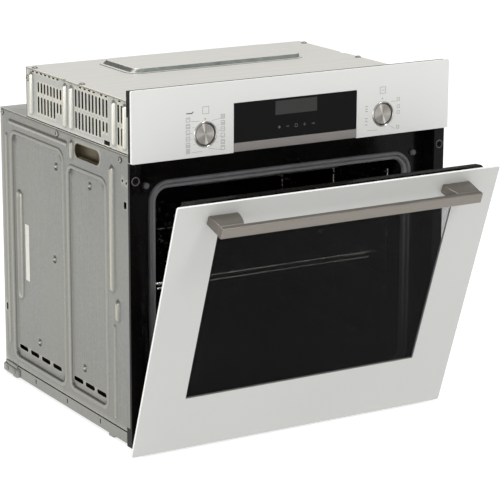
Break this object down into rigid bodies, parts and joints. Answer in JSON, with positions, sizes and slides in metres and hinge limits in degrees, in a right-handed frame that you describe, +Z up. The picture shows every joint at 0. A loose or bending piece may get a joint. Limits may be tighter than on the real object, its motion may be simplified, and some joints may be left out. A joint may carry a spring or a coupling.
{
  "type": "wall oven",
  "caption": "Built-in oven with a white glass front: steel casing, enamelled cavity with wire shelf, drop-down glazed door, two push-in knobs and a display.",
  "frame": {"origin": "centre of the flat resting pad under the casing, midway across and midway along the lower box", "axes": "+X to the oven's right-hand side as seen from the front, +Y from the door towards the rear panel, +Z up"},
  "size_m": [0.594, 0.7176, 0.595],
  "materials": {
    "galvanised_steel": "zinc-coated sheet",
    "top_sheet": "pale coated sheet",
    "pocket_steel": "shaded zinc-coated sheet",
    "screw_steel": "passivated",
    "black_enamel": "gloss vitreous enamel",
    "black_plastic": "matt",
    "seal_silicone": "matt",
    "buffer_silicone": "matt",
    "mineral_wool": "fibrous",
    "heater_tube": "oxidised",
    "bright_wire": "polished",
    "motor_steel": "laminated, dark",
    "wheel_metal": "bare",
    "lamp_glass": "clear",
    "white_glass": "white enamelled back",
    "display_black": "black, gloss",
    "clear_pane": "heat-reflecting",
    "door_steel": "black",
    "handle_metal": "satin brushed",
    "trim_metal": "brushed",
    "knob_metal": "spun face",
    "bezel_chrome": "polished",
    "shaft_steel": "turned",
    "circuit_board": "solder mask"
  },
  "bodies": {
    "chassis": {"base_tray": "galvanised_steel", "side_panel_left": "galvanised_steel", "side_panel_right": "galvanised_steel", "carry_pockets": "pocket_steel", "rear_panel": "galvanised_steel", "deck_plate": "galvanised_steel", "housing_side_left": "galvanised_steel", "housing_side_right": "galvanised_steel", "housing_rear": "galvanised_steel", "top_cover": "top_sheet", "duct_cover": "top_sheet", "terminal_box": "black_plastic", "chassis_screws": "screw_steel", "front_frame": "black_enamel", "fixing_grommets": "black_plastic", "door_buffers": "buffer_silicone", "cavity": "black_enamel", "cavity_seal": "seal_silicone", "insulation": "mineral_wool", "fan_cover": "black_enamel", "fan_motor": "motor_steel", "ring_heater": "heater_tube", "grill_element": "heater_tube", "bottom_heater": "heater_tube", "lamp_housing": "galvanised_steel", "lamp_lens": "lamp_glass", "lamp_bulb": "lamp_glass", "temperature_probe": "wheel_metal", "side_rack_left": "bright_wire", "side_rack_right": "bright_wire", "blower_housing": "galvanised_steel", "blower_motor": "motor_steel", "air_duct": "galvanised_steel", "thermal_cutout": "motor_steel", "control_carrier": "black_plastic", "fascia_panel": "white_glass", "display_glass": "display_black", "trim_strip": "trim_metal", "display_module": "black_plastic", "control_board": "circuit_board", "power_board": "circuit_board", "encoders": "circuit_board", "knob_bezels": "bezel_chrome", "hinge_receivers": "galvanised_steel", "hinge_levers": "shaft_steel"},
    "door": {"door_outer_glass": "white_glass", "door_inner_panes": "clear_pane", "door_side_profiles": "door_steel", "door_end_profiles": "door_steel", "handle_bar": "handle_metal", "handle_posts": "handle_metal", "hinge_boxes": "galvanised_steel", "hinge_springs": "shaft_steel"},
    "left_spindle": {"spindle_left": "shaft_steel"},
    "left_knob": {"knob_left": "knob_metal"},
    "right_spindle": {"spindle_right": "shaft_steel"},
    "right_knob": {"knob_right": "knob_metal"},
    "fan_wheel": {"convection_fan": "wheel_metal"},
    "cooling_wheel": {"blower_wheel": "wheel_metal"},
    "shelf": {"wire_shelf": "bright_wire"}
  },
  "joints": [
    {"name": "door_hinge", "type": "hinge", "parent": "chassis", "child": "door", "pos_m": [0, -0.2682, 0.0293], "axis": [1, 0, 0], "range_deg": [-19.3, 70.7], "stiffness_Nm_per_rad": 13, "springref_deg": -19.3},
    {"name": "selector_turn", "type": "hinge", "parent": "chassis", "child": "left_spindle", "pos_m": [-0.1665, -0.259, 0.5155], "axis": [0, 1, 0], "continuous": true},
    {"name": "selector_push", "type": "slide", "parent": "left_spindle", "child": "left_knob", "axis": [0, -1, 0], "range_m": [0, 0.015]},
    {"name": "dial_turn", "type": "hinge", "parent": "chassis", "child": "right_spindle", "pos_m": [0.1665, -0.259, 0.5155], "axis": [0, 1, 0], "continuous": true},
    {"name": "dial_push", "type": "slide", "parent": "right_spindle", "child": "right_knob", "axis": [0, -1, 0], "range_m": [0, 0.015]},
    {"name": "fan_spin", "type": "hinge", "parent": "chassis", "child": "fan_wheel", "pos_m": [0, 0.151, 0.244], "axis": [0, 1, 0], "continuous": true},
    {"name": "blower_spin", "type": "hinge", "parent": "chassis", "child": "cooling_wheel", "pos_m": [0, 0.016, 0.5], "axis": [0, 0, 1], "continuous": true},
    {"name": "shelf_slide", "type": "slide", "parent": "chassis", "child": "shelf", "axis": [0, -1, 0], "range_m": [0, 0.045]}
  ]
}
